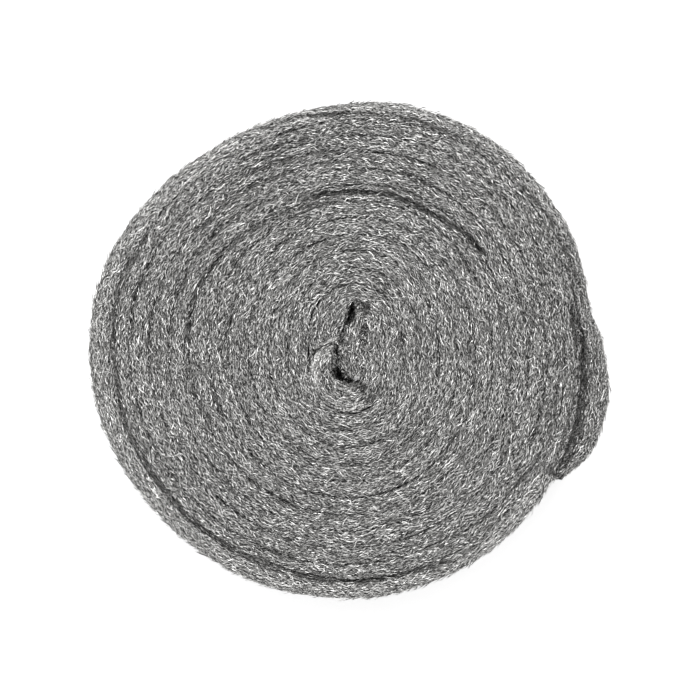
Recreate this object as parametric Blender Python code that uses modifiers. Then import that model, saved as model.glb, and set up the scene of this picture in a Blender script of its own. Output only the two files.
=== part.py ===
"""A steel wool roll: one ribbon of wool, doubled over in the eye and wound on itself.

The roll lies on one of its two faces. +Z is the winding axis, z = 0 is the face it rests on, and the
middle of its footprint is at x = y = 0. From above, the ribbon runs clockwise from the eye outwards
and its loose end lies on the right, a little towards the front.
"""

import math

import bmesh
import bpy
from mathutils import Vector

MM = 0.001

# The ribbon
RIBBON_WIDTH = 100.0 * MM  # how tall the roll stands
TURN_PITCH = 5.85 * MM  # one turn of pressed ribbon with the seam beside it
TURN_GAP = 0.5 * MM  # the open seam between two turns
EDGE_CHAMFER = 1.4 * MM  # the softened long edges of the ribbon

# The wound turns, counted outwards from the doubled wad in the eye
TURNS = 11 + 1 / 3
FIRST_TURN_ANGLE = math.radians(90.0)
EYE_RADIUS = 13.5 * MM  # mean radius of the wad that the first turn goes round
EYE_OVAL = 0.29  # share of that radius by which the wad is long in Y and narrow in X
EYE_SHIFT = Vector((2.5, 0.7)) * MM  # the eye's middle from the middle of the outer turns

# How far the outer turn is out of round
BULGES = (
    (2, 0.55 * MM, math.radians(17.0)),  # bulges round the roll, height, angle of the first
    (3, 1.25 * MM, math.radians(58.5)),
    (4, 0.55 * MM, math.radians(-21.0)),
)

# The loose end, which stands off the roll
TAIL_TURN = 0.16  # share of a turn that is loose
TAIL_DROP = 5.0 * MM  # how far its upper edge hangs below the rest
TAIL_SHAPE = (
    # share of its length, and as shares of TURN_PITCH its standoff and its extra thickness
    (0.00, 0.00, 0.00),
    (0.29, 0.09, -0.31),
    (0.46, 0.19, 0.07),
    (0.64, 0.27, 0.38),
    (0.81, 0.22, 0.31),
    (1.00, 0.03, -0.38),
)

# The roll's side, which is the face of its last turn
SIDE_SWELLS = (
    # height, turns from one swell to the next, and how many of them its slant passes on the way up
    (0.45 * MM, 0.115, 1.4),
    (0.35 * MM, 0.077, -2.1),
)
SWELL_FADE = 0.05  # turns over which the swells begin and end
SIDE_LEVELS = (0.0, 1 / 6, 2 / 6, 3 / 6, 4 / 6, 5 / 6, 1.0)  # shares of the way up

# The upper face
CROWN_RISE = 1.6 * MM  # how far the inner turns stand above the outer ones
CROWN_TURNS = 6.5  # where that rise ends
EDGE_WANDER = 0.5 * MM  # how far a turn's upper edge strays from level
WANDER_TURNS = (0.61, 0.23)  # turns from one high spot to the next

# The doubled wad in the eye, from the ribbon's inner end outwards: X, Y and room for the ribbon,
# all as shares of EYE_RADIUS from the eye's middle
WAD_ROUTE = (
    (0.10, -0.59, 0.34),
    (0.00, -0.26, 0.52),
    (0.00, 0.18, 0.50),
    (0.06, 0.52, 0.38),
    (0.12, 0.73, 0.33),
    (0.19, 0.88, 0.32),
    (0.34, 0.95, 0.31),
    (0.48, 0.88, 0.32),
    (0.55, 0.73, 0.33),
    (0.58, 0.50, 0.38),
    (0.57, 0.10, 0.50),
    (0.56, -0.36, 0.54),
    (0.43, -0.88, 0.64),
    (-0.06, -1.14, 0.68),
    (-0.53, -0.93, 0.66),
    (-0.71, -0.52, 0.62),
    (-0.74, -0.05, 0.62),
    (-0.69, 0.42, 0.76),
    (-0.54, 0.86, 0.80),
    (-0.39, 1.17, 0.74),
    (-0.22, 1.39, 0.56),
)

STEPS_PER_TURN = 54
STEPS_PER_WAD_POINT = 3

STEEL_WOOL = {"Base Color": (0.23, 0.228, 0.222, 1.0), "Metallic": 0.85, "Roughness": 0.5}


def clear_scene():
    for old in list(bpy.data.objects):
        bpy.data.objects.remove(old, do_unlink=True)


def heading(angle):
    return Vector((math.cos(angle), math.sin(angle)))


def seam(turns, angle):
    """The place, at this angle, of the inner side of the turn that is this many turns out."""
    out = turns / TURNS
    radius = EYE_RADIUS * (1 - EYE_OVAL * math.cos(2 * angle) * (1 - out)) + TURN_PITCH * turns
    for count, height, first in BULGES:
        radius += out * height * math.cos(count * (angle - first))
    return EYE_SHIFT * (1 - out) + radius * heading(angle)


def tail_shape(turns):
    """How far the loose end stands off the roll here, and how thick it is beside the wound ribbon."""
    along = (turns - (TURNS - TAIL_TURN)) / TAIL_TURN
    for (start, *before), (end, *after) in zip(TAIL_SHAPE, TAIL_SHAPE[1:]):
        if start < along <= end:
            share = (along - start) / (end - start)
            ease = share * share * (3 - 2 * share)
            return [TURN_PITCH * (a + (b - a) * ease) for a, b in zip(before, after)]
    return [0.0, 0.0]


def wound_turns():
    """Middle line and thickness of the ribbon, from the wad to the loose end."""
    points = []
    count = round(TURNS * STEPS_PER_TURN)
    for step in range(count + 1):
        turns = TURNS * step / count
        angle = FIRST_TURN_ANGLE - 2 * math.pi * turns
        inner = seam(turns, angle)
        outer = seam(turns + 1, angle)
        standoff, swell = tail_shape(turns)
        thickness = (outer - inner).length - TURN_GAP + swell
        middle = inner + (outer - inner).normalized() * (TURN_GAP / 2 + standoff + thickness / 2)
        points.append((middle, thickness, turns))
    return points


def smooth_through(points, steps):
    """Points of a smooth curve through these, without the last one."""
    ends = [2 * points[0] - points[1], *points, 2 * points[-1] - points[-2]]
    smooth = []
    for a, b, c, d in zip(ends, ends[1:], ends[2:], ends[3:]):
        for step in range(steps):
            t = step / steps
            smooth.append(
                0.5 * (2 * b + (c - a) * t + (2 * a - 5 * b + 4 * c - d) * t**2)
                + 0.5 * (3 * b - a - 3 * c + d) * t**3
            )
    return smooth


def doubled_wad(first_wound):
    """Middle line and thickness of the ribbon in the eye, up to its first wound point."""
    knots = []
    for x, y, room in WAD_ROUTE:
        middle = EYE_SHIFT + EYE_RADIUS * Vector((x, y))
        knots.append(Vector((*middle, EYE_RADIUS * room - TURN_GAP)))
    middle, thickness, _ = first_wound
    knots.append(Vector((*middle, thickness)))
    return [(p.xy, p.z, 0.0) for p in smooth_through(knots, STEPS_PER_WAD_POINT)]


def upper_edge(turns, along):
    """Height of the ribbon's upper edge at this turn, this many turns of length from its start."""
    rise = CROWN_RISE * (1 - min(1.0, turns / CROWN_TURNS) ** 4)
    stray = sum(math.sin(2 * math.pi * along / every) for every in WANDER_TURNS)
    tail = max(0.0, (turns - (TURNS - TAIL_TURN)) / TAIL_TURN)
    drop = TAIL_DROP * math.sin(math.pi / 2 * min(1.0, 2 * tail))
    return RIBBON_WIDTH + rise + EDGE_WANDER * stray / len(WANDER_TURNS) - drop


def side_swell(turns, level):
    """How far the roll's side stands out at this turn and this share of the way up."""
    inside = min(turns - (TURNS - 1), TURNS - turns) / SWELL_FADE
    fade = max(0.0, min(1.0, inside)) * (1 - (2 * level - 1) ** 4)
    return fade * sum(
        height * math.sin(2 * math.pi * (turns / every + slant * level))
        for height, every, slant in SIDE_SWELLS
    )


def outward(before, after):
    """Unit vector to the outer side of a line that runs clockwise past these points."""
    run = (after - before).normalized()
    return Vector((-run.y, run.x))


def footprint_middle(route):
    """Middle of the box round the finished roll, seen from above."""
    low = Vector((math.inf, math.inf))
    high = -low
    for (before, _, _), (point, thickness, turns), (after, _, _) in zip(route, route[1:], route[2:]):
        side = outward(before, after)
        swell = max(side_swell(turns, level) for level in SIDE_LEVELS)
        for corner in (point + side * (thickness / 2 + swell), point - side * thickness / 2):
            low = Vector(map(min, low, corner))
            high = Vector(map(max, high, corner))
    return (low + high) / 2


def ribbon_columns(route, lead):
    """Places and thicknesses up the ribbon's middle sheet, at each point of its route."""
    middle = footprint_middle(route)
    columns = []
    for index, (point, thickness, turns) in enumerate(route):
        before = route[max(index - 1, 0)][0]
        after = route[min(index + 1, len(route) - 1)][0]
        side = outward(before, after)
        top = upper_edge(turns, (index - lead) / STEPS_PER_TURN)
        levels = SIDE_LEVELS if turns >= TURNS - 1 else (0.0, 1.0)
        column = []
        for level in levels:
            swell = side_swell(turns, level)
            place = point - middle + side * swell / 2
            column.append((Vector((*place, top * level)), thickness + swell))
        columns.append(column)
    return columns


def ribbon_strip(name):
    """The ribbon's middle sheet, standing on its long edge, with its thickness as vertex weights."""
    wound = wound_turns()
    route = doubled_wad(wound[0]) + wound
    columns = ribbon_columns(route, len(route) - len(wound))
    thickest = max(thickness for column in columns for _, thickness in column)

    sheet = bmesh.new()
    weights = sheet.verts.layers.deform.verify()
    below = []
    for column in columns:
        verts = []
        for place, thickness in column:
            vert = sheet.verts.new(place)
            vert[weights][0] = thickness / thickest
            verts.append(vert)
        if len(below) == len(verts):
            for row in range(len(verts) - 1):
                sheet.faces.new((below[row], verts[row], verts[row + 1], below[row + 1]))
        elif below:
            sheet.faces.new((below[0], *verts, below[-1]))
        below = verts

    mesh = bpy.data.meshes.new(name)
    sheet.to_mesh(mesh)
    sheet.free()
    return mesh, thickest, min(thickness for _, thickness, _ in route)


def steel_wool_material():
    material = bpy.data.materials.new("steel_wool")
    material.use_nodes = True
    shader = material.node_tree.nodes["Principled BSDF"]
    for socket, value in STEEL_WOOL.items():
        shader.inputs[socket].default_value = value
    return material


def make_roll(collection):
    mesh, thickest, thinnest = ribbon_strip("steel_wool_roll")
    roll = bpy.data.objects.new("steel_wool_roll", mesh)
    collection.objects.link(roll)
    roll.vertex_groups.new(name="thickness")

    solid = roll.modifiers.new("ribbon thickness", "SOLIDIFY")
    solid.thickness = thickest
    solid.offset = 0.0
    solid.vertex_group = "thickness"

    edges = roll.modifiers.new("soft edges", "BEVEL")
    edges.width = min(EDGE_CHAMFER, 0.48 * thinnest)
    edges.use_clamp_overlap = False
    edges.segments = 1
    edges.limit_method = "ANGLE"
    edges.angle_limit = math.radians(60.0)

    mesh.materials.append(steel_wool_material())
    mesh.shade_smooth()
    mesh.set_sharp_from_angle(angle=math.radians(60.0))
    return roll


def main():
    clear_scene()
    collection = bpy.data.collections.new("steel_wool_roll")
    bpy.context.scene.collection.children.link(collection)
    make_roll(collection)


main()
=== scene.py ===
"""A steel wool roll, seen on its end: one ribbon of matted steel fibres, wound on itself.

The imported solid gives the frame. The ribbon here repeats its winding with rounded, creased edges,
and layers of separate fibres lie on its two ends and round its side.
"""

import math

import bpy
import numpy as np
from bpy.props import FloatProperty, FloatVectorProperty, IntProperty, PointerProperty
from bpy.types import Operator, Panel, PropertyGroup
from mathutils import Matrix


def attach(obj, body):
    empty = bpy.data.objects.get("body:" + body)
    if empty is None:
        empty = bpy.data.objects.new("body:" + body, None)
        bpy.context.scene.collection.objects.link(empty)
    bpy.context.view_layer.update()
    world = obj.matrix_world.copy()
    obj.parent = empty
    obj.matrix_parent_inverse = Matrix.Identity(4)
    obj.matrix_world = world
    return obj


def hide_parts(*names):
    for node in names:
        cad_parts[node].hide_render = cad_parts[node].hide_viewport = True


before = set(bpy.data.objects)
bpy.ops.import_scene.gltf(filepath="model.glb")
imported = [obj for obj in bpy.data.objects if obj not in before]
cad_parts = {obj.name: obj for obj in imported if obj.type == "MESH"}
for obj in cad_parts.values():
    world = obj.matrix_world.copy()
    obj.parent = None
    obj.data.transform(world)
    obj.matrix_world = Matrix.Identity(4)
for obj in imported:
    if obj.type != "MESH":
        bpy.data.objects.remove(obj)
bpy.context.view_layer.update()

bl_info = {
    "name": "Steel Wool Roll",
    "version": (1, 0, 0),
    "blender": (4, 5, 0),
    "location": "View3D > Sidebar > Steel Wool",
    "description": "Dresses the packed steel wool roll with its matted ribbon and loose fibres",
    "category": "Object",
}

MM = 0.001
ROLL_NODE = "steel_wool_roll"

# The ribbon and its winding, as in the solid
RIBBON_WIDTH = 100.0 * MM
TURN_PITCH = 5.85 * MM
TURN_GAP = 0.5 * MM
TURNS = 11 + 1 / 3
FIRST_TURN_ANGLE = math.radians(90.0)
EYE_RADIUS = 13.5 * MM
EYE_OVAL = 0.29
EYE_SHIFT = np.array((2.5, 0.7)) * MM
BULGES = (
    (2, 0.55 * MM, math.radians(17.0)),
    (3, 1.25 * MM, math.radians(58.5)),
    (4, 0.55 * MM, math.radians(-21.0)),
)
TAIL_TURN = 0.16
TAIL_DROP = 5.0 * MM
TAIL_SHAPE = (
    (0.00, 0.00, 0.00),
    (0.29, 0.09, -0.31),
    (0.46, 0.19, 0.07),
    (0.64, 0.27, 0.38),
    (0.81, 0.22, 0.31),
    (1.00, 0.03, -0.38),
)
SIDE_SWELLS = (
    (0.45 * MM, 0.115, 1.4),
    (0.35 * MM, 0.077, -2.1),
)
SWELL_FADE = 0.05
CROWN_RISE = 1.6 * MM
CROWN_TURNS = 6.5
EDGE_WANDER = 0.5 * MM
WANDER_TURNS = (0.61, 0.23)
WAD_ROUTE = (
    (0.10, -0.59, 0.34), (0.00, -0.26, 0.52), (0.00, 0.18, 0.50),
    (0.06, 0.52, 0.38), (0.12, 0.73, 0.33), (0.19, 0.88, 0.32),
    (0.34, 0.95, 0.31), (0.48, 0.88, 0.32), (0.55, 0.73, 0.33),
    (0.58, 0.50, 0.38), (0.57, 0.10, 0.50), (0.56, -0.36, 0.54),
    (0.43, -0.88, 0.64), (-0.06, -1.14, 0.68), (-0.53, -0.93, 0.66),
    (-0.71, -0.52, 0.62), (-0.74, -0.05, 0.62), (-0.69, 0.42, 0.76),
    (-0.54, 0.86, 0.80), (-0.39, 1.17, 0.74), (-0.22, 1.39, 0.56),
)
STEPS_PER_TURN = 54
STEPS_PER_WAD_POINT = 3

# Creases of the upper end that follow the turns: depth in millimetres, then angle in degrees and
# radius in millimetres about the middle of the outer turns
RING_CREASES = (
    (3.6, ((33, 57.0), (45, 56.2), (60, 54.6), (72, 54.9), (85, 53.9), (97, 53.4), (104, 52.4))),
    (1.7, ((97, 50.4), (106, 50.6), (120, 51.5), (132, 51.3), (144, 52.3), (157, 53.1), (180, 52.8))),
    (1.2, ((175, 52.8), (191, 51.4), (207, 49.3), (220, 48.2))),
    (1.3, ((-6, 52.8), (11, 53.2), (22, 54.4), (34, 55.2))),
    (2.0, ((146, 76.4), (162, 77.1), (173, 76.4), (182, 75.8), (198, 75.6), (214, 75.0))),
    (2.2, ((208, 75.3), (225, 74.3), (241, 73.8), (259, 73.9), (270, 74.3), (281, 75.0), (300, 77.4))),
    (1.3, ((292, 77.6), (306, 76.1), (320, 75.0))),
    (1.5, ((297, 70.6), (313, 71.3), (333, 72.3), (345, 72.0), (360, 71.8), (380, 71.5), (390, 72.2))),
    (2.0, ((88, 67.6), (93, 67.4), (103, 67.2), (112, 67.3), (122, 68.6))),
    (1.9, ((96, 71.7), (101, 71.9), (110, 72.3), (119, 72.6))),
    (1.6, ((84, 63.7), (94, 63.5), (104, 63.0), (113, 62.7), (121, 63.4), (135, 63.0), (144, 63.4))),
    (1.2, ((108, 56.5), (126, 57.4), (137, 58.7), (149, 59.4), (165, 60.0))),
    (1.3, ((150, 71.4), (166, 71.6), (178, 70.7))),
    (1.0, ((176, 62.0), (190, 62.1))),
    (1.0, ((215, 60.2), (236, 58.8))),
    (2.1, ((190, 45.2), (198, 45.2), (204, 45.2), (210, 45.4))),
    (1.4, ((157, 38.6), (165, 39.3), (176, 40.0))),
    (1.0, ((163, 34.2), (185, 34.0))),
    (1.1, ((204, 36.3), (216, 36.4))),
    (1.3, ((238, 36.4), (252, 37.0), (262, 36.8))),
    (1.0, ((270, 36.6), (288, 37.5), (302, 37.8))),
    (1.0, ((254, 47.2), (268, 47.3))),
    (1.2, ((-2, 63.2), (8, 63.1), (16, 62.4))),
    (1.0, ((-6, 30.9), (18, 30.9))),
    (1.0, ((-4, 24.8), (18, 24.5))),
    (2.0, ((14, 80.6), (22, 80.7), (36, 81.0), (54, 81.1), (68, 80.6), (81, 80.1), (100, 79.6),
           (112, 79.3))),
)
RING_CREASE_WIDTH = 0.7 * MM  # half width

# Creases beside the loose end and in the eye: depth and half width in millimetres, then points in
# millimetres from the middle of the footprint
CREASES = (
    (3.6, 1.4, ((72.0, 15.8), (74.7, 8.3), (76.9, 0.0), (77.6, -9.9), (76.9, -18.2), (75.6, -26.4),
                (72.3, -34.7), (68.0, -42.2))),
    (1.7, 1.0, ((66.8, 41.3), (73.4, 29.7), (76.6, 18.5), (78.4, 9.9))),
    (1.9, 1.0, ((61.2, 33.0), (64.5, 24.8), (66.8, 16.5), (68.2, 6.6), (69.5, -6.6), (68.2, -16.5),
                (66.2, -23.1), (62.2, -36.3), (59.6, -42.9))),
    (1.6, 0.9, ((60.6, 14.9), (60.0, 5.0), (59.6, -5.0))),
    (6.5, 1.0, ((1.9, 16.0), (1.2, 13.9), (0.5, 11.8), (-0.9, 8.2))),
    (2.0, 0.7, ((-0.9, 8.2), (-2.3, 5.2), (-3.7, 2.5))),
    (1.8, 0.7, ((1.8, 15.6), (4.0, 14.6), (7.2, 13.2))),
    (3.2, 0.9, ((-3.7, 2.5), (-4.1, -0.5), (-4.0, -3.2), (-3.8, -6.0))),
    (8.5, 1.4, ((-4.1, -5.4), (-3.8, -7.6), (-2.2, -9.5))),
    (5.0, 1.0, ((-3.4, -8.4), (-1.2, -10.0), (1.6, -10.8))),
    (2.6, 1.0, ((1.0, -10.4), (3.2, -11.6), (5.1, -13.4), (6.0, -15.2))),
    (1.8, 1.3, ((8.4, -12.4), (7.4, -15.6), (5.3, -18.6))),
    (2.6, 0.7, ((-13.4, -1.2), (-9.4, 0.6), (-5.6, 2.2), (-3.9, 2.8))),
    (0.9, 0.8, ((4.4, 8.0), (4.6, 3.4), (4.2, -0.6))),
    (1.2, 1.1, ((-11.5, -13.0), (-9.0, -18.0), (-4.0, -21.0))),
)

# Smooth strands round the doubled wad in the eye: half width in millimetres, then points as above
EYE_STRANDS = (
    (1.5, ((-5.4, 1.2), (-8.4, -0.6), (-10.6, -3.3), (-11.8, -9.9), (-9.9, -15.4), (-6.4, -18.0),
           (0.2, -19.1), (6.1, -17.2))),
    (0.4, ((-3.4, 4.0), (-8.1, 2.4), (-12.4, 0.2))),
)

CREASE_STEP = 0.5 * MM
CREASE_FADE = 5 * MM  # length over which a crease gets deeper from its ends
CREASE_REACH = 3  # half widths, beyond which it presses nothing down
CREASE_BATCH = 20000  # points that are pressed down at a time

# The search for a point's turn
FIRST_GUESS = 5.0
GUESSES = 12

# The ribbon's skin, where it departs from the solid
SIDE_LEVELS = np.linspace(0, 1, 7)  # shares of the way up that the solid has on its side
FINE_STEPS = 12  # steps of the fine route for each step of the solid's
STATION_SPACING = 0.055  # step along the skin, as a share of its distance from the middle
SPACING_LIMITS = (0.55 * MM, 2.7 * MM)
SKIN_EXTRA = 0.4 * MM  # thickness beyond the solid's
TIP_TAPER = 1.5 * MM  # how far the loose end's outer side is drawn in at the tip
TIP_START = 0.88  # share of the loose end where that begins
LOOSE_SLANT = 2 * MM  # how much lower the loose end's outer side hangs
LEDGE_START = 0.45  # where the ledge beside the loose end begins, as a share of its turn
LEDGE_SLOPE = 0.25  # share of that turn over which it slopes down
LEDGE_DROP = 0.8  # share of the loose end's drop
SEAM_WAVES = (
    # waves a turn, height and shift: a seam opens where they add up
    (4.1, 1.0, 0.9), (7.3, 1.0, 2.1), (12.7, 0.8, 0.0),
)
SEAM_OPENS = 0.6  # sum of the waves above which a seam opens
SEAM_OPENING = 1.6  # how much more than that opens it fully
EYE_FADE = 0.4  # turns from the eye over which the seams get deeper
EDGE_SHOULDER = 3.4  # how sharply a turn's edges fall off
RIM_SHOULDER = 2.4  # how sharply the roll's rim does
LOW_ROUND = 0.9 * MM  # how far the lower edges rise towards a seam
RIPPLE_LENGTH = 17 * MM

# The fibres
UPWARDS = np.array((0, 0, 1.0))
WIDTH_RANGE = (0.75, 1.3)  # of the mean width
WIDTH_STRAY = 0.25  # share by which a fibre's width strays along it
EVEN_DRAWS = (0.7548776662, 0.5698402910)  # steps whose multiples lie evenly between 0 and 1
RIM_PAINTED_LIGHT = 0.35  # lowest draw on the outer turn, which is lighter: painted light on the roll's rounded rim
LOOSE_PAINTED_SHADE = 0.75  # highest draw on the loose end, which is darker: painted shade on the lowered flap
LEAN = 0.09  # radians
LEAN_WAVES = (
    # direction in degrees, length in millimetres and shift
    (20, 7.1, 0.3), (75, 5.3, 1.9), (130, 6.2, 4.0), (170, 4.1, 2.7), (100, 9.7, 5.1),
)
LOOSEST = 1.5  # times as much spread in the roll's middle as in the outer turns
LOOSE_FALL = 45 * MM  # radius over which that falls by 1
MAT_SLACK = 0.5 * MM  # how far fibres stick out of the roll before they are drawn back
MAT_DRAWN_BACK = 0.85  # share of what sticks out further
MAT_STRAY = 0.35 * MM  # how far a fibre's points stray up and down
FLOOR_GAP = 0.26 * MM  # between the floor and the lower end's fibres
EYE_DEPTH = 13 * MM  # range of depths of the fibres in the eye's slits
SLIT_DEPTH = 2 * MM  # depth of a crease that counts as a slit

HABITS = {
    # bends, least and greatest length in millimetres, spread, curl and kink
    "short": (2, 1.2, 2.9, 0.28, 0.45, 0.2),
    "long": (4, 3.0, 7.0, 0.4, 1.2, 0.35),
    "tail": (2, 1.2, 2.6, 0.7, 0.5, 0.25),
    "eye": (3, 1.2, 3.0, 1.6, 1.0, 0.4),
    "strand": (3, 1.8, 4.5, 0.12, 0.3, 0.1),
    "side": (3, 2.5, 8.0, 0.4, 0.9, 0.25),
    "lower": (2, 2.5, 6.0, 0.6, 0.8, 0.3),
}

# Shades of the fibres, from 0 for dark to 1 for bright steel: draws, and what they give
# The lowest mat's shades are darker as painted shade under the mats above it, and the highest mat's
# brighter as painted highlights
DEEP_MAT_PAINTED_SHADE = ((0, 1), (-0.2, 0.35))
MAT_SHADES = ((0, 0.4, 1), (-0.25, 0.2, 0.85))
TOP_MAT_PAINTED_HIGHLIGHT = ((0, 1), (0.4, 1.25))
STRAND_SHADES = ((0, 1), (0.3, 0.85))
GLINT_SHADES = ((0, 0.3, 1), (0.1, 0.6, 1.1))
SEEDS = {"mats": 20, "long": 25, "tail": 26, "eye": 24, "side": 31, "lower": 41}

# The finish, with painted glints on the fibres and painted shade on the matted ribbon
GLINT_NOISE_SCALE = 1900  # of the noise: painted glints about 0.5 mm long
GLINT_NOISE_CONTRAST = 2.1
MATTED_STRANDS = (
    # angle in degrees to the ribbon's run, and scale along it and across it
    (8, 520, 4200), (-11, 560, 4600), (2, 440, 5000), (18, 700, 4000),
)
MATTED_LEVEL = 0.62  # noise that gives the darkest steel; most of the ribbon is this dark, painted shade under the fibres
MATTED_CONTRAST = 5.0

# The stage
FLOOR_SIZE = 3.0
LAMP_SIZE = 1.5
LAMP_PLACE = (-0.12, 0.7, 1.65)
CAMERA_SHIFT = 0.17 * MM  # to the right of the roll's middle


def fibre_count(name, description, default):
    return IntProperty(name=name, description=description, default=default, min=0)


def size_setting(name, description, default, least=0.0):
    return FloatProperty(
        name=name, description=description, default=default, min=least, unit="LENGTH"
    )


def colour_setting(name, description, default):
    return FloatVectorProperty(
        name=name, description=description, default=default, size=4, subtype="COLOR"
    )


class RibbonSettings(PropertyGroup):
    """Sizes of the wound ribbon's edges."""

    edge_round: size_setting(
        "Edge Rounding", "How far the ribbon's long edges fall off towards a closed seam", 0.36 * MM
    )
    open_seam: size_setting(
        "Open Seam", "How much deeper the seam between two turns gets where it opens", 1.1 * MM
    )
    rim_round: size_setting(
        "Rim Rounding", "How far the outer turn's upper edge falls off towards the side", 2.6 * MM
    )
    side_ripple: size_setting(
        "Side Ripple", "Height of the small ripples between the side's larger swells", 0.15 * MM
    )


class WoolSettings(PropertyGroup):
    """Amount, size and colour of the fibres."""

    short_fibres: fibre_count(
        "Short Fibres", "Short fibres in each of the upper end's three mats", 33000
    )
    long_fibres: fibre_count("Long Fibres", "Long fibres on the upper end", 2600)
    tail_fibres: fibre_count(
        "Tail Fibres", "Fine fibres on the loose end and on the ledge beside it", 4000
    )
    eye_fibres: fibre_count("Eye Fibres", "Fibres in the eye's gaps at the upper end", 2600)
    lower_eye_fibres: fibre_count(
        "Lower Eye Fibres", "Fibres in the eye's gaps at the lower end", 1500
    )
    strand_fibres: fibre_count("Strand Fibres", "Smooth fibres in the strands round the eye", 420)
    side_fibres: fibre_count("Side Fibres", "Fibres round the roll's side", 10500)
    lower_fibres: fibre_count("Lower Fibres", "Fibres on the lower end", 8500)
    fibre_width: size_setting("Fibre Width", "Mean width of a fibre", 0.21 * MM, 0.01 * MM)
    dark_steel: colour_setting(
        "Dark Steel", "Colour of the darkest fibres", (0.022, 0.0217, 0.021, 1.0)
    )
    mid_steel: colour_setting("Mid Steel", "Colour of most fibres", (0.3, 0.297, 0.29, 1.0))
    bright_steel: colour_setting(
        "Bright Steel", "Colour of the fibres that glint", (0.86, 0.855, 0.84, 1.0)
    )


class StageSettings(PropertyGroup):
    """Floor, light and camera."""

    floor_colour: colour_setting(
        "Floor Colour", "Colour of the floor under the roll", (0.8, 0.8, 0.8, 1.0)
    )
    key_power: FloatProperty(
        name="Key Light",
        description="Power of the large soft lamp above the roll, towards the back",
        default=20.5,
        min=0.0,
        unit="POWER",
    )
    sky_level: FloatProperty(
        name="Sky Level",
        description="Strength of the even light from all round",
        default=0.85,
        min=0.0,
    )
    camera_height: size_setting(
        "Camera Height", "Distance from the roll's upper end to the camera", 1.5, 0.1
    )
    frame_width: size_setting(
        "Frame Width", "Width of the picture at the roll's upper end", 0.231, 0.01
    )


def out_of_round(turns, angle):
    """Radius of the eye with its oval and the bulges that the winding has this many turns out."""
    out = turns / TURNS
    radius = EYE_RADIUS * (1 - EYE_OVAL * np.cos(2 * angle) * (1 - out))
    for count, height, first in BULGES:
        radius = radius + out * height * np.cos(count * (angle - first))
    return radius


def seam(turns, angle):
    """Points, at these angles, of the inner side of the turns that are this many turns out."""
    radius = out_of_round(turns, angle) + TURN_PITCH * turns
    ray = np.stack([np.cos(angle), np.sin(angle)], axis=-1)
    return (1 - turns / TURNS)[:, None] * EYE_SHIFT + radius[:, None] * ray


def lengths(line):
    """Length along this line from its start to each of its points."""
    return np.concatenate([[0], np.cumsum(np.linalg.norm(np.diff(line, axis=0), axis=1))])


def follow(places, along, line):
    """Points of this line, or its vectors, at these places along it."""
    return np.stack([np.interp(places, along, line[:, axis]) for axis in (0, 1)], axis=-1)


def outward(line):
    """Unit vectors to the outer side of a line that runs clockwise."""
    run = np.gradient(line, axis=0)
    run = run / np.linalg.norm(run, axis=1)[:, None]
    return np.stack([-run[:, 1], run[:, 0]], axis=1)


def tail_shape(turns):
    """How far the loose end stands off the roll at these turns, and its extra thickness."""
    along = (turns - (TURNS - TAIL_TURN)) / TAIL_TURN
    rows = np.array(TAIL_SHAPE)
    start = np.clip(np.searchsorted(rows[:, 0], along) - 1, 0, len(rows) - 2)
    share = (along - rows[start, 0]) / (rows[start + 1, 0] - rows[start, 0])
    share = np.clip(share, 0, 1)
    ease = (share * share * (3 - 2 * share))[:, None]
    shape = rows[start, 1:] + (rows[start + 1, 1:] - rows[start, 1:]) * ease
    return TURN_PITCH * np.where(along[:, None] > 0, shape, 0.0)


def wound_turns(steps):
    """Middle, thickness and turn of the wound ribbon at this many steps a turn."""
    turns = np.linspace(0, TURNS, round(TURNS * steps) + 1)
    angle = FIRST_TURN_ANGLE - 2 * math.pi * turns
    inner = seam(turns, angle)
    outer = seam(turns + 1, angle)
    standoff, swell = tail_shape(turns).T
    reach = np.linalg.norm(outer - inner, axis=1)
    thickness = reach - TURN_GAP + swell
    way = (outer - inner) / reach[:, None]
    middle = inner + way * (TURN_GAP / 2 + standoff + thickness / 2)[:, None]
    return middle, thickness, turns


def smooth_through(points, steps):
    """Points of a smooth curve through these, without the last one."""
    ends = np.vstack([2 * points[0] - points[1], points, 2 * points[-1] - points[-2]])
    t = (np.arange(steps) / steps)[:, None]
    spans = []
    for a, b, c, d in zip(ends, ends[1:], ends[2:], ends[3:]):
        curve = 2 * b + (c - a) * t + (2 * a - 5 * b + 4 * c - d) * t**2
        spans.append(0.5 * (curve + (3 * b - a - 3 * c + d) * t**3))
    return np.vstack(spans)


def upper_edge(turns):
    """Height of the ribbon's upper edge at these turns, without the loose end's drop."""
    rise = CROWN_RISE * (1 - np.minimum(1.0, np.maximum(0.0, turns) / CROWN_TURNS) ** 4)
    stray = sum(np.sin(2 * math.pi * turns / every) for every in WANDER_TURNS)
    return RIBBON_WIDTH + rise + EDGE_WANDER * stray / len(WANDER_TURNS)


def tail_share(turns):
    """How far along the loose end these turns are, from 0 before it to 1 at its tip."""
    return np.clip((turns - (TURNS - TAIL_TURN)) / TAIL_TURN, 0, 1)


def tip_taper(turns):
    """How far the outer side of the loose end is drawn in at these turns, close to its tip."""
    return TIP_TAPER * np.clip((tail_share(turns) - TIP_START) / (1 - TIP_START), 0, 1) ** 2


def side_swell(turns, level):
    """How far the roll's side stands out at these turns and shares of the way up."""
    inside = np.minimum(turns - (TURNS - 1), TURNS - turns) / SWELL_FADE
    fade = np.clip(inside, 0, 1) * (1 - (2 * level - 1) ** 4)
    return fade * sum(
        height * np.sin(2 * math.pi * (turns / every + slant * level))
        for height, every, slant in SIDE_SWELLS
    )


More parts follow.
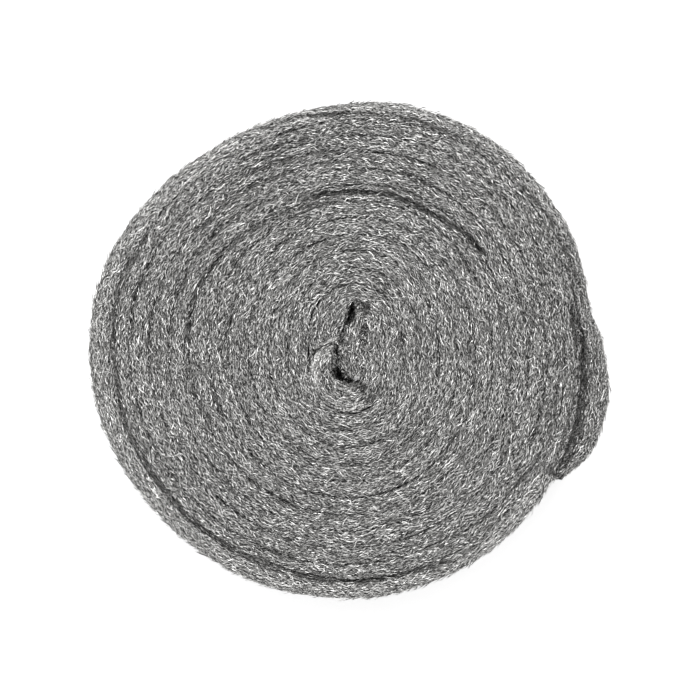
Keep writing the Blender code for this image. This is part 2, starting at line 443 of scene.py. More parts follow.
class Route:
    """The ribbon's middle line from its inner end to its outer one, at steps that get longer."""

    def __init__(self):
        middle, thickness, turns = wound_turns(FINE_STEPS * STEPS_PER_TURN)
        knots = [(*(EYE_SHIFT + EYE_RADIUS * np.array((x, y))), EYE_RADIUS * room - TURN_GAP)
                 for x, y, room in WAD_ROUTE]
        knots.append((*middle[0], thickness[0]))
        wad = smooth_through(np.array(knots), FINE_STEPS * STEPS_PER_WAD_POINT)

        middle = np.vstack([wad[:, :2], middle])
        thickness = np.concatenate([wad[:, 2], thickness])
        turns = np.concatenate([np.zeros(len(wad)), turns])

        side = outward(middle)
        swell = side_swell(turns[:, None], SIDE_LEVELS).max(1)
        outside = middle + side * (thickness / 2 + swell)[:, None]
        corners = np.vstack([outside, middle - side * thickness[:, None] / 2])
        self.centre = (corners.min(0) + corners.max(0)) / 2
        middle = middle - self.centre

        step = np.linalg.norm(np.diff(middle, axis=0), axis=1)
        from_centre = np.linalg.norm(middle, axis=1)
        spacing = np.clip(STATION_SPACING * from_centre, *SPACING_LIMITS)
        density = np.concatenate([[0], np.cumsum(step / spacing[1:])])
        stations = np.linspace(0, density[-1], round(density[-1]) + 1)

        self.middle = follow(stations, density, middle)
        self.thickness = np.interp(stations, density, thickness)
        self.turns = np.interp(stations, density, turns)
        self.length = np.interp(stations, density, lengths(middle))
        self.side = outward(self.middle)

    def beside(self, reach):
        """Points this far to the outer side of the middle line, at each of its stations."""
        return self.middle[:, None] + self.side[:, None] * reach[..., None]


def crease_line(points):
    """A smooth line through these points, and each point's share of the crease's full depth."""
    points = np.array(points) * MM
    line = np.vstack([smooth_through(points, FINE_STEPS), points[-1]])
    length = lengths(line)
    places = np.linspace(0, length[-1], max(4, round(length[-1] / CREASE_STEP)))
    fade = min(CREASE_FADE, 0.3 * length[-1])
    depth = np.clip(np.minimum(places, length[-1] - places) / fade, 0.15, 1)
    return follow(places, length, line), depth


def crease_lines(centre):
    """Every crease of the upper end as (line, depth along it, half width)."""
    lines = []
    for depth, points in RING_CREASES:
        polar = np.array(points, float)
        angle = np.radians(polar[:, 0])
        place = polar[:, 1:] * np.stack([np.cos(angle), np.sin(angle)], axis=1)
        line, share = crease_line(place - centre / MM)
        lines.append((line, share * depth * MM, RING_CREASE_WIDTH))
    for depth, width, points in CREASES:
        line, share = crease_line(points)
        lines.append((line, share * depth * MM, width * MM))
    return lines


class UpperEnd:
    """The shape of the roll's upper end, seen from above."""

    def __init__(self, route, settings):
        self.route = route
        self.settings = settings
        self.creases = crease_lines(route.centre)

    def spiral_place(self, points):
        """How many turns out these points lie, and the share of a turn at their angle."""
        place = points + self.route.centre
        turns = np.full(len(points), FIRST_GUESS)
        for _ in range(GUESSES):
            reach = place - (1 - turns / TURNS)[:, None] * EYE_SHIFT
            angle = np.arctan2(reach[:, 1], reach[:, 0])
            radius = out_of_round(turns, angle)
            turns = (np.linalg.norm(reach, axis=1) - radius) / TURN_PITCH
        return turns, ((FIRST_TURN_ANGLE - angle) / (2 * math.pi)) % 1

    def seam_depth(self, count):
        """Depth of the seam that is this many turns out: shallow, and deeper in stretches."""
        wave = sum(
            height * np.sin(2 * math.pi * waves * count + shift)
            for waves, height, shift in SEAM_WAVES
        )
        opening = np.clip((wave - SEAM_OPENS) / SEAM_OPENING, 0, 1) ** 1.2
        return self.settings.edge_round + self.settings.open_seam * opening

    def crease_depth(self, points):
        """How far the creases press the surface down at these points."""
        deepest = np.zeros(len(points))
        for line, depth, width in self.creases:
            low = line.min(0) - CREASE_REACH * width
            high = line.max(0) + CREASE_REACH * width
            near = np.flatnonzero(((points > low) & (points < high)).all(1))
            for part in np.array_split(near, max(1, len(near) // CREASE_BATCH)):
                if len(part):
                    gap = np.linalg.norm(points[part, None] - line[None], axis=2)
                    press = (depth * np.exp(-((gap / width) ** 2))).max(1)
                    deepest[part] = np.maximum(deepest[part], press)
        return deepest

    def drawn_in(self, points):
        """These points, with those that stick out of the roll by more than the slack drawn back."""
        turns, share = self.spiral_place(points)
        edge = np.floor(TURNS + 1 - share) + share
        standoff, swell = tail_shape(edge - 1).T
        beyond = (turns - edge) * TURN_PITCH - standoff - swell + tip_taper(edge - 1)
        beyond = np.maximum(0, beyond - MAT_SLACK)
        ray = points / np.linalg.norm(points, axis=1)[:, None]
        return points - ray * (MAT_DRAWN_BACK * beyond)[:, None]

    def surface(self, points):
        """Height of the upper end at these points."""
        turns, share = self.spiral_place(points)
        outermost_edge = np.floor(TURNS + 1 - share) + share
        here = np.minimum(np.floor(turns - share) + share, outermost_edge - 1)
        standoff, swell = tail_shape(here).T / TURN_PITCH
        across = np.clip((turns - here - standoff) / (1 + swell), 0, 1)
        wound = np.clip(turns / EYE_FADE, 0, 1)
        side = np.where(across < 0.5, self.seam_depth(here), self.seam_depth(here + 1))
        outermost = (here > TURNS - 1) & (across > 0.5)
        side = np.where(outermost, self.settings.rim_round, side)
        shoulder = np.where(outermost, RIM_SHOULDER, EDGE_SHOULDER)
        fall = side * np.abs(2 * across - 1) ** shoulder * wound
        tail = tail_share(here)
        slope = np.sin(math.pi / 2 * np.minimum(1, 2 * tail)) * (TAIL_DROP + LOOSE_SLANT * across)
        beside = tail_share(here + 1) * (here < TURNS - 1)
        ledge = LEDGE_DROP * TAIL_DROP * np.clip((across - LEDGE_START) / LEDGE_SLOPE, 0, 1)
        slope = slope + np.sin(math.pi / 2 * np.minimum(1, 2 * beside)) * ledge
        return upper_edge(here) - fall - slope - self.crease_depth(points)


def ribbon_skin(upper):
    """Points of the ribbon's closed skin, as (place along it, place round it, 3)."""
    route = upper.route
    across_top = np.linspace(-1, 1, 11)
    across_low = np.linspace(1, -1, 5)
    outer_levels = np.array([0.965, 0.90, 0.80, 0.68, 0.56, 0.44, 0.32, 0.20, 0.09, 0.02])
    inner_levels = np.array([0.02, 0.50, 0.965])

    count = len(route.middle)
    half = (route.thickness + SKIN_EXTRA)[:, None] / 2
    standoff = tail_shape(route.turns)[:, :1]
    outer_half = half - tip_taper(route.turns)[:, None]
    reach = np.where(across_top < 0, half, outer_half) * across_top
    reach = reach - standoff * np.clip(-1.6 * across_top - 0.6, 0, 1)
    top_places = route.beside(reach)
    top = upper.surface(top_places.reshape(-1, 2)).reshape(count, -1)

    low_places = route.beside(np.where(across_low < 0, half, outer_half) * across_low)
    low = LOW_ROUND * np.abs(across_low) ** 3 * np.ones((count, 1))
    low[:, (0, -1)] += LOW_ROUND / 3

    ripple = np.sin(route.length[:, None] * 2 * math.pi / RIPPLE_LENGTH + 23 * outer_levels**2)
    outermost = np.clip((route.turns - (TURNS - 1)) / SWELL_FADE, 0, 1)[:, None]
    bulge = side_swell(route.turns[:, None], outer_levels)
    bulge = bulge + upper.settings.side_ripple * ripple * outermost
    outer_places = route.beside(outer_half + bulge)
    outer = top[:, -1:] * outer_levels

    inner_places = route.beside(-half - standoff * np.array((0, 0, 1)))
    inner = top[:, :1] * inner_levels

    return np.concatenate([
        np.dstack([top_places, top]),
        np.dstack([outer_places, outer]),
        np.dstack([low_places, low]),
        np.dstack([inner_places, inner]),
    ], axis=1)


def ribbon_mesh(route, skin):
    """The ribbon's skin as a mesh, with its length and girth as a UV map."""
    count, girth, _ = skin.shape
    index = np.arange(count * girth).reshape(count, girth)
    turned = np.roll(index, -1, axis=1)
    quads = np.stack([index[:-1], turned[:-1], turned[1:], index[1:]], axis=-1).reshape(-1, 4)
    faces = quads.tolist() + [index[0, ::-1].tolist(), index[-1].tolist()]

    mesh = bpy.data.meshes.new("wound_ribbon")
    mesh.from_pydata(skin.reshape(-1, 3), [], faces)

    sides = np.linalg.norm(np.diff(skin, axis=1, append=skin[:, :1]), axis=2)
    around = np.concatenate([np.zeros((count, 1)), np.cumsum(sides, axis=1)], axis=1)
    start = around[:-1, :-1]
    end = around[:-1, 1:]
    here = np.broadcast_to(route.length[:-1, None], start.shape)
    ahead = np.broadcast_to(route.length[1:, None], start.shape)
    corners = np.stack([here, start, here, end, ahead, end, ahead, start], axis=-1)
    across = ((skin[..., :2] - route.middle[:, None]) * route.side[:, None]).sum(2)
    caps = np.dstack([across, skin[..., 2]])
    loops = np.concatenate([corners.reshape(-1, 2), caps[0, ::-1], caps[-1]])
    mesh.uv_layers.new(name="ribbon").data.foreach_set("uv", loops.astype(np.float32).ravel())
    mesh.shade_smooth()
    return mesh


def bent_paths(rng, count, habit, looseness=1.0):
    """Fibre paths in a plane, lengthwise and crosswise: (fibre, point, 2) about their middles."""
    bends, least, greatest, spread, curl, kink = HABITS[habit]
    length = rng.uniform(least * MM, greatest * MM, count)
    heading = rng.normal(0, 1, count) * (spread * looseness)
    share = (np.arange(bends) + 0.5) / bends - 0.5
    turn = heading[:, None] + rng.normal(0, curl, count)[:, None] * share
    turn = turn + rng.normal(0, kink, (count, bends))
    step = (length / bends)[:, None, None] * np.stack([np.cos(turn), np.sin(turn)], axis=2)
    path = np.concatenate([np.zeros((count, 1, 2)), np.cumsum(step, axis=1)], axis=1)
    return path - path.mean(1, keepdims=True)


def fibre_faces(inner):
    """Triangles of a fibre with this many rings, and their shares of the way along and round it."""
    faces = []
    places = []
    last = 3 * inner + 1
    for k in range(3):
        near, far = 1 + k, 1 + (k + 1) % 3
        faces.append((0, far, near))
        places.append(((0, k + 0.5), (1, k + 1), (1, k)))
        for step in range(inner - 1):
            a, b = near + 3 * step, far + 3 * step
            faces.append((a, b, b + 3))
            places.append(((step + 1, k), (step + 1, k + 1), (step + 2, k + 1)))
            faces.append((a, b + 3, a + 3))
            places.append(((step + 1, k), (step + 2, k + 1), (step + 2, k)))
        a, b = near + 3 * (inner - 1), far + 3 * (inner - 1)
        faces.append((a, b, last))
        places.append(((inner, k), (inner, k + 1), (inner + 1, k + 0.5)))
    return np.array(faces), np.array(places) / np.array((inner + 1, 3))


def fibre_piece(name, paths, up, width, tones, shades, rng):
    """Closed three-sided fibres with pointed ends along these paths, as one piece."""
    count, ends, _ = paths.shape
    run = np.gradient(paths, axis=1)
    run = run / np.linalg.norm(run, axis=2, keepdims=True)
    side = np.cross(run, up)
    side = side / np.maximum(np.linalg.norm(side, axis=2, keepdims=True), 1e-9)
    over = np.cross(side, run)

    spin = rng.uniform(0, 2 * math.pi, count)[:, None, None] + 2 * math.pi / 3 * np.arange(3)
    stray = 1 + WIDTH_STRAY * rng.uniform(-1, 1, (count, ends, 1))
    radius = (width / 2)[:, None, None] * stray
    ring = side[:, :, None] * (radius * np.cos(spin))[..., None]
    ring = ring + over[:, :, None] * (radius * np.sin(spin))[..., None]
    rings = (paths[:, :, None] + ring)[:, 1:-1]
    points = np.concatenate([paths[:, :1], rings.reshape(count, -1, 3), paths[:, -1:]], axis=1)
    faces, places = fibre_faces(ends - 2)
    stride = points.shape[1]
    every = np.arange(count)[:, None, None] * stride + faces

    mesh = bpy.data.meshes.new(name)
    mesh.from_pydata(points.reshape(-1, 3), [], every.reshape(-1, 3))

    cells = math.ceil(math.sqrt(count))
    cell = np.stack([np.arange(count) % cells, np.arange(count) // cells], axis=1)
    margin = 0.15
    inside = margin + (1 - 2 * margin) * places
    spots = (cell[:, None, None] + inside) / cells
    mesh.uv_layers.new(name="OFBake").data.foreach_set("uv", spots.astype(np.float32).ravel())
    shade = np.repeat(np.interp(tones, *shades), stride).astype(np.float32)
    mesh.attributes.new("shade", "FLOAT", "POINT").data.foreach_set("value", shade)
    return add_piece(mesh, "steel_fibre", fibre_material)


def scattered(rng, route, count, rows, first=0.0, span=(-1.06, 1.06)):
    """Even places on the ribbon, each with its run's direction and a balanced draw from 0 to 1.

    They lie in this many rows, from this turn outwards and over this span of the half thickness. The
    draw is raised on the outer turn as painted light, and lowered on the loose end as painted shade.
    """
    step = np.gradient(route.length)
    weight = step * route.thickness * (route.turns >= first)
    edges = np.concatenate([[0], np.cumsum(weight)])
    columns = -(-count // rows)
    column, row = np.divmod(np.arange(columns * rows)[:count], rows)
    pick = (column + rng.uniform(0, 1, count)) / columns * edges[-1]
    station = np.clip(np.searchsorted(edges, pick) - 1, 0, len(step) - 1)
    part = (pick - edges[station]) / np.maximum(weight[station], 1e-12) - 0.5
    across = span[0] + (span[1] - span[0]) * (row + rng.uniform(0, 1, count)) / rows
    side = route.side[station]
    run = np.stack([side[:, 1], -side[:, 0]], axis=1)
    point = route.middle[station] + side * (across * route.thickness[station] / 2)[:, None]
    point = point + run * (part * step[station])[:, None]
    draw = EVEN_DRAWS[0] * column + EVEN_DRAWS[1] * row + rng.uniform(0, 0.15, count)
    draw = draw % 1
    turns = route.turns[station]
    # The outer turn's fibres are drawn lighter: painted light on the roll's rounded rim
    draw = np.where(turns > TURNS - 1, RIM_PAINTED_LIGHT + (1 - RIM_PAINTED_LIGHT) * draw, draw)
    # The loose end's fibres are drawn darker: painted shade on the lowered flap
    draw = np.where(turns > TURNS - TAIL_TURN, LOOSE_PAINTED_SHADE * draw, draw)
    return point, run, draw


def local_lean(points):
    """How far the fibres round these points lean from the ribbon's run, in radians."""
    lean = np.zeros(len(points))
    for turn, every, shift in LEAN_WAVES:
        way = np.array((math.cos(math.radians(turn)), math.sin(math.radians(turn))))
        lean = lean + np.sin(points @ way * 2 * math.pi / (every * MM) + shift)
    return lean * LEAN


def end_fibres(name, rng, upper, places, habit, width, shades, lift, lower=False):
    """A mat of fibres that lies on the roll's upper end, or its lower one."""
    middle, run, draw = places
    count = len(middle)
    lean = local_lean(middle)[:, None]
    side = np.stack([-run[:, 1], run[:, 0]], axis=1)
    run, side = run * np.cos(lean) + side * np.sin(lean), side * np.cos(lean) - run * np.sin(lean)
    looseness = LOOSEST - np.linalg.norm(middle, axis=1) / LOOSE_FALL
    plan = bent_paths(rng, count, habit, np.clip(looseness, 1.0, LOOSEST))
    spots = middle[:, None] + plan[..., :1] * run[:, None] + plan[..., 1:] * side[:, None]
    flat = upper.drawn_in(spots.reshape(-1, 2))
    spots = flat.reshape(spots.shape)
    rise = rng.uniform(*lift, (count, 1))
    rise = rise + rng.uniform(-0.5, 0.5, spots.shape[:2]) * MAT_STRAY
    if lower:
        turns, share = upper.spiral_place(flat)
        across = (turns - share) % 1
        level = 0.35 * MM + 0.5 * MM * np.abs(2 * across - 1) ** 3
        z = np.maximum(level.reshape(count, -1) - rise, FLOOR_GAP)
    else:
        z = upper.surface(flat).reshape(count, -1) + rise
    paths = np.dstack([spots, z])
    widths = width * rng.uniform(*WIDTH_RANGE, count)
    return fibre_piece(name, paths, UPWARDS, widths, draw, shades, rng)


def eye_gaps(rng, route, count):
    """Random places between the runs of the doubled wad."""
    eye = EYE_SHIFT - route.centre
    oval = EYE_RADIUS * np.array((0.95, 1.4))
    near = route.turns < 1.2
    line = route.middle[near]
    spots = []
    while sum(map(len, spots)) < count:
        tries = eye + rng.uniform(-1, 1, (4000, 2)) * EYE_RADIUS * np.array((1.0, 1.5))
        gap = np.linalg.norm(tries[:, None] - line[None], axis=2) - route.thickness[near] / 2
        inside = (((tries - eye) / oval) ** 2).sum(1) < 1
        spots.append(tries[(gap.min(1) > 0.1 * MM) & inside])
    return np.vstack(spots)[:count]


def eye_fibres(name, rng, upper, count, width, shades, lower=False):
    """Fibres that cross the eye's gaps near one end, and deep down in its open slits."""
    middle = eye_gaps(rng, upper.route, count)
    spots = middle[:, None] + bent_paths(rng, count, "eye")
    slit = upper.crease_depth(middle) > SLIT_DEPTH
    draw = rng.uniform(0, 1, count)
    deep = draw**1.5 * EYE_DEPTH
    sunk = np.where(slit, 1.0 * MM + deep, draw**2 * 2.5 * MM)
    tilt = rng.normal(0, 0.2 * MM, spots.shape[:2])
    level = 0.5 * MM + deep if lower else upper.surface(middle) - sunk
    z = np.maximum(level[:, None] + tilt, 0.3 * MM)
    widths = width * rng.uniform(*WIDTH_RANGE, count)
    paths = np.dstack([spots, z])
    # Fibres in the slits get darker tones: painted shade in the slits
    tones = rng.uniform(0, 1, count) * np.where(slit, 0.6, 1.0)
    return fibre_piece(name, paths, UPWARDS, widths, tones, shades, rng)


def eye_strands(name, rng, upper, count, width, shades):
    """Smooth fibres that lie lengthwise in the strands round the doubled wad."""
    lines = [np.array(points) * MM for _, points in EYE_STRANDS]
    spans = [lengths(line)[-1] for line in lines]
    strands = []
    for (half, _), line, span in zip(EYE_STRANDS, lines, spans):
        line = smooth_through(line, 8)
        along = lengths(line)
        part = round(count * span / sum(spans))
        plan = bent_paths(rng, part, "strand")
        place = np.clip(rng.uniform(0, along[-1], part)[:, None] + plan[..., 0], 0, along[-1])
        offset = rng.uniform(-1, 1, (part, 1)) * half * MM + plan[..., 1]
        side = follow(place, along, outward(line))
        strands.append(follow(place, along, line) + side * offset[..., None])
    spots = np.concatenate(strands)
    rise = rng.uniform(0.1 * MM, 0.4 * MM, (len(spots), 1))
    z = upper.surface(spots.reshape(-1, 2)).reshape(spots.shape[:2])
    z = np.maximum(z, z.max(1, keepdims=True) - 0.5 * MM) + rise
    widths = width * rng.uniform(*WIDTH_RANGE, len(spots))
    tones = rng.uniform(0, 1, len(spots))
    return fibre_piece(name, np.dstack([spots, z]), UPWARDS, widths, tones, shades, rng)


def side_fibres(name, rng, upper, count, width, shades):
    """Fibres that lie lengthwise on the outer turn's side and round the loose end's tip."""
    route = upper.route
    first = np.flatnonzero(route.turns >= TURNS - 1)[0]
    normals = route.side[first:]
    half = route.thickness[first:] / 2 - tip_taper(route.turns[first:])
    wall = route.middle[first:] + normals * half[:, None]
    top = upper.surface(wall - normals * 0.2 * MM)
    behind_tip = route.middle[-1] - normals[-1] * route.thickness[-1] / 2
    wall = np.vstack([wall, behind_tip])
    normals = np.vstack([normals, (normals[-1, 1], -normals[-1, 0])])
    turns = np.append(route.turns[first:], TURNS)
    top = np.append(top, top[-1])
    length = lengths(wall)

    plan = bent_paths(rng, count, "side")
    along = rng.uniform(0, length[-1], count)[:, None] + plan[..., 0]
    along = np.clip(along, 0, length[-1])
    level = rng.uniform(0.004, 0.995, count)[:, None]
    ceiling = np.interp(along, length, top)
    z = np.clip(level * ceiling + plan[..., 1], 0.25 * MM, ceiling)
    normal = follow(along, length, normals)
    spot = follow(along, length, wall)
    rise = rng.uniform(0.05, 0.5, (count, 1)) + rng.uniform(-0.25, 0.25, z.shape)
    stray = rng.uniform(0, 1, (count, 1)) ** 1.5 * 1.3
    rise[:, -2:] += stray * np.array((0.55, 1.0))
    rise[:, 0] -= 0.3
    swell = side_swell(np.interp(along, length, turns), z / ceiling)
    spot = spot + normal * (rise * MM + swell)[..., None]
    paths = np.dstack([spot, z])
    up = np.dstack([normal, np.zeros_like(z)])
    widths = width * rng.uniform(0.8, 1.5, count)
    tones = rng.uniform(0, 1, count)
    return fibre_piece(name, paths, up, widths, tones, shades, rng)


def named_material(name):
    """A new material, its nodes and links, and its shader."""
    material = bpy.data.materials.new(name)
    material.use_nodes = True
    nodes = material.node_tree.nodes
    return material, nodes, material.node_tree.links, nodes["Principled BSDF"]


def steel_ramp(nodes, wool):
    """Colour ramp from dark to bright steel."""
    ramp = nodes.new("ShaderNodeValToRGB")
    ramp.color_ramp.elements[0].color = wool.dark_steel
    ramp.color_ramp.elements[1].color = wool.bright_steel
    ramp.color_ramp.elements.new(0.5).color = wool.mid_steel
    return ramp


def fill(node, values):
    """Set the node's inputs of these names."""
    for name, value in values.items():
        node.inputs[name].default_value = value


def math_node(nodes, links, operation, first, second):
    """Output of a math node that works on two values or sockets."""
    node = nodes.new("ShaderNodeMath")
    node.operation = operation
    for socket, value in zip(node.inputs, (first, second)):
        if isinstance(value, (int, float)):
            socket.default_value = value
        else:
            links.new(value, socket)
    return node.outputs[0]


def fibre_material(wool):
    """Drawn steel: each fibre has its own shade, with painted glints along it from a fine noise in its
    colour.
    """
    material, nodes, links, shader = named_material("steel_fibre")
    fill(shader, {"Metallic": 0.85, "Roughness": 0.42})
    own = nodes.new("ShaderNodeAttribute")
    own.attribute_name = "shade"
    where = nodes.new("ShaderNodeTexCoord")
    # Painted glints: fine noise that makes the colour brighter and darker along each fibre
    glint_noise = nodes.new("ShaderNodeTexNoise")
    fill(glint_noise, {"Scale": GLINT_NOISE_SCALE, "Detail": 1.0})
    links.new(where.outputs["Object"], glint_noise.inputs["Vector"])
    stray = math_node(nodes, links, "SUBTRACT", glint_noise.outputs[0], 0.5)
    stray = math_node(nodes, links, "MULTIPLY", stray, GLINT_NOISE_CONTRAST)
    shade = math_node(nodes, links, "ADD", own.outputs["Fac"], stray)
    ramp = steel_ramp(nodes, wool)
    links.new(shade, ramp.inputs["Fac"])
    links.new(ramp.outputs["Color"], shader.inputs["Base Color"])
    return material


def ribbon_material(wool):
    """Matted wool under the loose fibres: strands that cross at slight angles along the ribbon, the
    wool's own pattern, on mostly dark steel that is painted shade under the fibres.
    """
    material, nodes, links, shader = named_material("matted_steel_wool")
    fill(shader, {"Metallic": 0.8, "Roughness": 0.5})
    where = nodes.new("ShaderNodeUVMap")
    where.uv_map = "ribbon"
    strands = None
    for turn, lengthwise, crosswise in MATTED_STRANDS:
        place = nodes.new("ShaderNodeMapping")
        fill(place, {
            "Rotation": (0, 0, math.radians(turn)),
            "Scale": (lengthwise, crosswise, 1),
            "Location": (turn, 3 * turn, 0),
        })
        links.new(where.outputs["UV"], place.inputs["Vector"])
        strand = nodes.new("ShaderNodeTexNoise")
        strand.noise_dimensions = "2D"
        fill(strand, {"Scale": 1.0, "Detail": 1.5, "Distortion": 0.6})
        links.new(place.outputs["Vector"], strand.inputs["Vector"])
        value = strand.outputs[0]
        strands = value if strands is None else math_node(nodes, links, "MAXIMUM", strands, value)
    level = math_node(nodes, links, "SUBTRACT", strands, MATTED_LEVEL)
    level = math_node(nodes, links, "MULTIPLY", level, MATTED_CONTRAST)
    ramp = steel_ramp(nodes, wool)
    links.new(level, ramp.inputs["Fac"])
    links.new(ramp.outputs["Color"], shader.inputs["Base Color"])
    bump = nodes.new("ShaderNodeBump")
    fill(bump, {"Strength": 0.7, "Distance": 0.35 * MM})
    links.new(strands, bump.inputs["Height"])
    links.new(bump.outputs["Normal"], shader.inputs["Normal"])
    return material


def add_piece(mesh, material, make):
    """Puts a piece on the roll's body, with this material, which is made once."""
    scene = bpy.context.scene
    piece = bpy.data.objects.new(mesh.name, mesh)
    scene.collection.objects.link(piece)
    mesh.materials.append(bpy.data.materials.get(material) or make(scene.steel_wool_fibres))
    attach(piece, "root")
    return piece


def shape_and_wool(context):
    """The upper end's shape and the fibres' settings."""
    upper = UpperEnd(Route(), context.scene.steel_wool_ribbon)
    return upper, context.scene.steel_wool_fibres


class STEELWOOL_OT_ribbon(Operator):
    """Make the wound ribbon with its rounded and creased edges"""

    bl_idname = "steelwool.ribbon"
    bl_label = "Wound Ribbon"

    def execute(self, context):
        upper, _ = shape_and_wool(context)
        mesh = ribbon_mesh(upper.route, ribbon_skin(upper))
        piece = add_piece(mesh, "matted_steel_wool", ribbon_material)
        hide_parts(ROLL_NODE)
        return {"FINISHED"}


class STEELWOOL_OT_upper_wool(Operator):
    """Lay the mats, the long fibres, the loose end's and the eye's on the upper end"""

    bl_idname = "steelwool.upper_wool"
    bl_label = "Upper End's Wool"

    def execute(self, context):
        upper, wool = shape_and_wool(context)
        route = upper.route
        width = wool.fibre_width
        mats = (
            # rows, width, lift and shades, from the lowest mat to the highest, darker below as painted
            # shade and brighter on top as painted highlights
            (10, 1.1, (-0.15 * MM, 0.0 * MM), DEEP_MAT_PAINTED_SHADE),
            (11, 1.0, (-0.05 * MM, 0.1 * MM), MAT_SHADES),
            (10, 1.0, (0.15 * MM, 0.4 * MM), TOP_MAT_PAINTED_HIGHLIGHT),
        )
        for number, (rows, wider, lift, shades) in enumerate(mats, 1):
            rng = np.random.default_rng(SEEDS["mats"] + number)
            places = scattered(rng, route, wool.short_fibres, rows)
            name = f"upper_mat_{number}"
            end_fibres(name, rng, upper, places, "short", wider * width, shades, lift)

        rng = np.random.default_rng(SEEDS["long"])
        places = scattered(rng, route, wool.long_fibres, 3)
        end_fibres("upper_long_fibres", rng, upper, places, "long", 0.75 * width, GLINT_SHADES,
                   (0.15 * MM, 0.45 * MM))

        rng = np.random.default_rng(SEEDS["tail"])
        places = scattered(rng, route, wool.tail_fibres, 24, TURNS - TAIL_TURN, (-2.7, 1.06))
        end_fibres("tail_fibres", rng, upper, places, "tail", 0.9 * width, MAT_SHADES,
                   (-0.1 * MM, 0.3 * MM))

        rng = np.random.default_rng(SEEDS["eye"])
        eye_fibres("eye_fibres", rng, upper, wool.eye_fibres, width, MAT_SHADES)
        eye_strands("eye_strands", rng, upper, wool.strand_fibres, width, STRAND_SHADES)
        return {"FINISHED"}


class STEELWOOL_OT_side_wool(Operator):
    """Lay the long fibres round the roll's side"""

    bl_idname = "steelwool.side_wool"
    bl_label = "Side's Wool"

    def execute(self, context):
        upper, wool = shape_and_wool(context)
        rng = np.random.default_rng(SEEDS["side"])
        width = 1.15 * wool.fibre_width
        side_fibres("side_fibres", rng, upper, wool.side_fibres, width, GLINT_SHADES)
        return {"FINISHED"}


class STEELWOOL_OT_lower_wool(Operator):
    """Lay the fibres on the end that the roll rests on"""

    bl_idname = "steelwool.lower_wool"
    bl_label = "Lower End's Wool"

    def execute(self, context):
        upper, wool = shape_and_wool(context)
        rng = np.random.default_rng(SEEDS["lower"])
        width = 1.5 * wool.fibre_width
        places = scattered(rng, upper.route, wool.lower_fibres, 7)
        end_fibres("lower_mat", rng, upper, places, "lower", width, MAT_SHADES,
                   (0.0, 0.25 * MM), lower=True)
        eye_fibres("lower_eye_fibres", rng, upper, wool.lower_eye_fibres, width, MAT_SHADES,
                   lower=True)
        return {"FINISHED"}


def white_to_the_camera(nodes, links):
    """1 for rays from the camera, reflections and glass, and 0 for the rays that light the roll."""
    path = nodes.new("ShaderNodeLightPath").outputs
    seen = math_node(nodes, links, "MAXIMUM", path["Is Camera Ray"], path["Is Glossy Ray"])
    return math_node(nodes, links, "MAXIMUM", seen, path["Is Transmission Ray"])


def floor_material(stage):
    """Pale floor that stays white in the picture and keeps the roll's soft shadow."""
    material, nodes, links, shader = named_material("pale_floor")
    fill(shader, {"Base Color": stage.floor_colour, "Roughness": 0.9, "Specular IOR Level": 0.0})
    glow = nodes.new("ShaderNodeEmission")
    strength = math_node(nodes, links, "MULTIPLY", white_to_the_camera(nodes, links), 0.5)
    links.new(strength, glow.inputs["Strength"])
    both = nodes.new("ShaderNodeAddShader")
    links.new(shader.outputs[0], both.inputs[0])
    links.new(glow.outputs[0], both.inputs[1])
    links.new(both.outputs[0], nodes["Material Output"].inputs["Surface"])
    return material


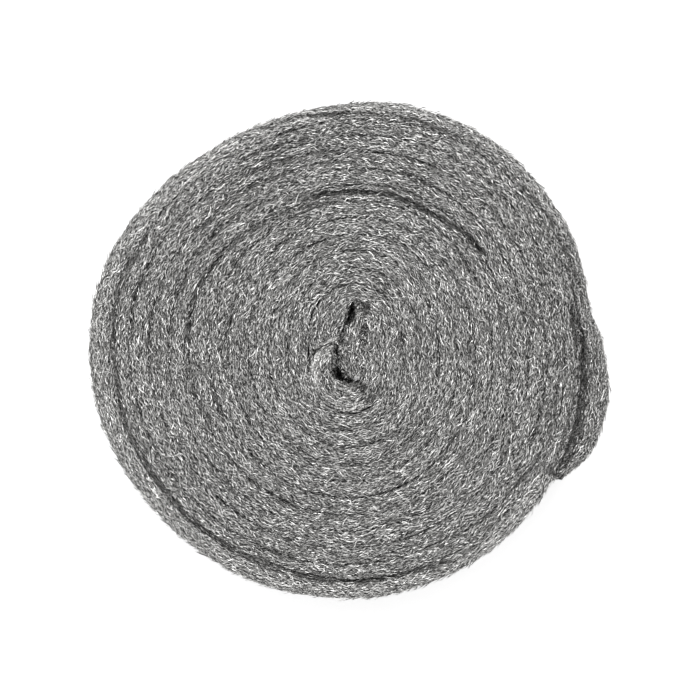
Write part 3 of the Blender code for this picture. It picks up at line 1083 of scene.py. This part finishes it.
class STEELWOOL_OT_stage(Operator):
    """Set up the floor, the soft light and the camera straight above the roll"""

    bl_idname = "steelwool.stage"
    bl_label = "Stage"

    def execute(self, context):
        scene = context.scene
        stage = scene.steel_wool_stage

        mesh = bpy.data.meshes.new("floor")
        square = ((-1, -1), (1, -1), (1, 1), (-1, 1))
        corners = [(x * FLOOR_SIZE, y * FLOOR_SIZE, 0) for x, y in square]
        mesh.from_pydata(corners, [], [(0, 1, 2, 3)])
        mesh.materials.append(floor_material(stage))
        floor = bpy.data.objects.new("floor", mesh)
        scene.collection.objects.link(floor)

        world = bpy.data.worlds.new("studio")
        world.use_nodes = True
        scene.world = world
        nodes, links = world.node_tree.nodes, world.node_tree.links
        seen = white_to_the_camera(nodes, links)
        extra = math_node(nodes, links, "MULTIPLY", seen, 1.0 - stage.sky_level)
        strength = math_node(nodes, links, "ADD", extra, stage.sky_level)
        background = nodes["Background"]
        background.inputs["Color"].default_value = (1, 1, 1, 1)
        links.new(strength, background.inputs["Strength"])

        key = bpy.data.lights.new("key", "AREA")
        key.shape = "DISK"
        key.size = LAMP_SIZE
        key.energy = stage.key_power
        lamp = bpy.data.objects.new("key", key)
        lamp.location = LAMP_PLACE
        lamp.rotation_euler = (-lamp.location).to_track_quat("-Z", "Y").to_euler()
        scene.collection.objects.link(lamp)

        lens = bpy.data.cameras.new("camera")
        lens.sensor_fit = "HORIZONTAL"
        lens.lens = lens.sensor_width * stage.camera_height / stage.frame_width
        camera = bpy.data.objects.new("camera", lens)
        camera.location = (CAMERA_SHIFT, 0, RIBBON_WIDTH + stage.camera_height)
        scene.collection.objects.link(camera)
        scene.camera = camera

        scene.view_settings.view_transform = "Standard"
        return {"FINISHED"}


class STEELWOOL_PT_panel(Panel):
    """The roll's pieces and their settings"""

    bl_label = "Steel Wool Roll"
    bl_idname = "STEELWOOL_PT_panel"
    bl_space_type = "VIEW_3D"
    bl_region_type = "UI"
    bl_category = "Steel Wool"

    def draw(self, context):
        layout = self.layout
        for group in ("steel_wool_ribbon", "steel_wool_fibres", "steel_wool_stage"):
            box = layout.box()
            settings = getattr(context.scene, group)
            for name in settings.__annotations__:
                box.prop(settings, name)
        for operator in OPERATORS:
            layout.operator(operator.bl_idname)


OPERATORS = (
    STEELWOOL_OT_ribbon,
    STEELWOOL_OT_upper_wool,
    STEELWOOL_OT_side_wool,
    STEELWOOL_OT_lower_wool,
    STEELWOOL_OT_stage,
)
SETTINGS = {
    "steel_wool_ribbon": RibbonSettings,
    "steel_wool_fibres": WoolSettings,
    "steel_wool_stage": StageSettings,
}


def register():
    for group in (*SETTINGS.values(), *OPERATORS, STEELWOOL_PT_panel):
        bpy.utils.register_class(group)
    for name, group in SETTINGS.items():
        setattr(bpy.types.Scene, name, PointerProperty(type=group))


def unregister():
    for name in SETTINGS:
        delattr(bpy.types.Scene, name)
    for group in reversed((*SETTINGS.values(), *OPERATORS, STEELWOOL_PT_panel)):
        bpy.utils.unregister_class(group)


def main():
    register()
    bpy.ops.steelwool.ribbon()
    bpy.ops.steelwool.upper_wool()
    bpy.ops.steelwool.side_wool()
    bpy.ops.steelwool.lower_wool()
    bpy.ops.steelwool.stage()


if __name__ == "__main__":
    main()
